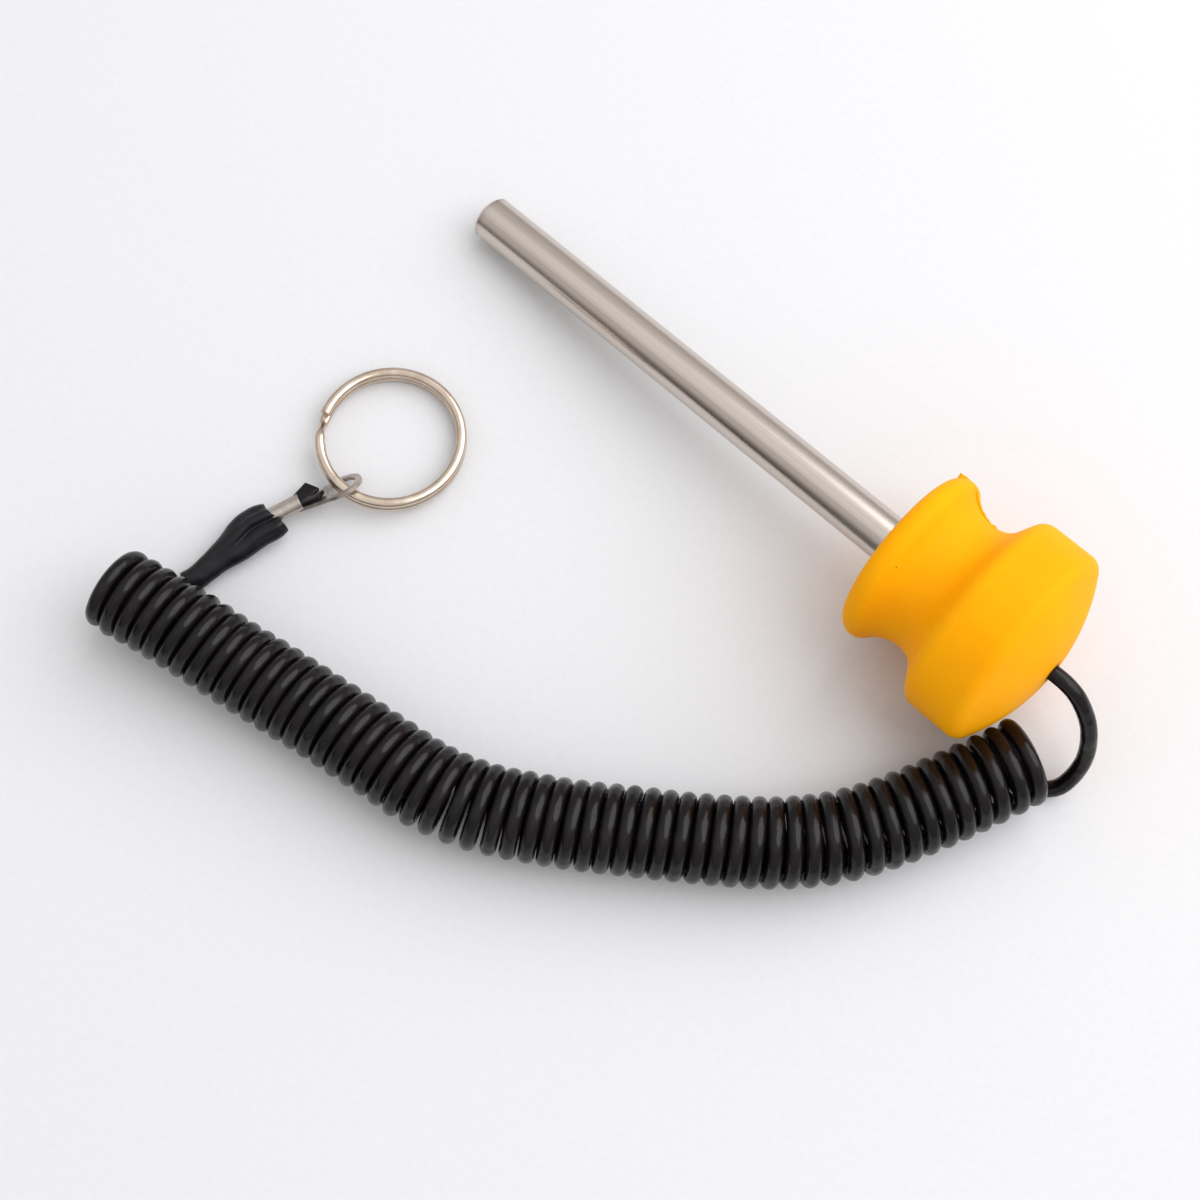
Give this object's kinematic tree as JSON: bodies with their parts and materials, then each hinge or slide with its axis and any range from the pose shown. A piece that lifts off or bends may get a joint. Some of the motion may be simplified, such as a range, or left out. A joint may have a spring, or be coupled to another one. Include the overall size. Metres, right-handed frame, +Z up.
{
  "type": "weight stack pin",
  "caption": "Selector pin with a steel shank in a grooved pull knob, tethered by a coiled cord that ends in a crimped ring terminal and a split ring",
  "frame": {"origin": "On the surface it lies on, under the middle of the shank and knob", "axes": "+X runs along the pin from its tip to its knob as seen from above, +Z up; the coiled cord lies on the -Y side"},
  "size_m": [0.1726, 0.145, 0.0454],
  "materials": {
    "steel": "fine ground stainless",
    "yellow_plastic": "satin moulded",
    "ferrule": "plain",
    "cord_jacket": "glossy polyurethane",
    "sleeve": "satin shrunk tubing",
    "tinned": "tinned sheet",
    "nickel": "nickel plated wire"
  },
  "bodies": {
    "pin": {"shank": "steel", "knob": "yellow_plastic", "cord_stop": "ferrule", "lead_cord": "cord_jacket", "cord_coil": "cord_jacket", "tail_cord": "cord_jacket", "shrink_sleeve": "sleeve", "ring_terminal": "tinned"},
    "ring": {"split_ring": "nickel"}
  },
  "joints": [
    {"name": "ring_hinge", "type": "hinge", "parent": "pin", "child": "ring", "pos_m": [-0.0561, -0.0656, 0.0039], "axis": [1, 0, 0], "range_deg": [0, 100]}
  ]
}
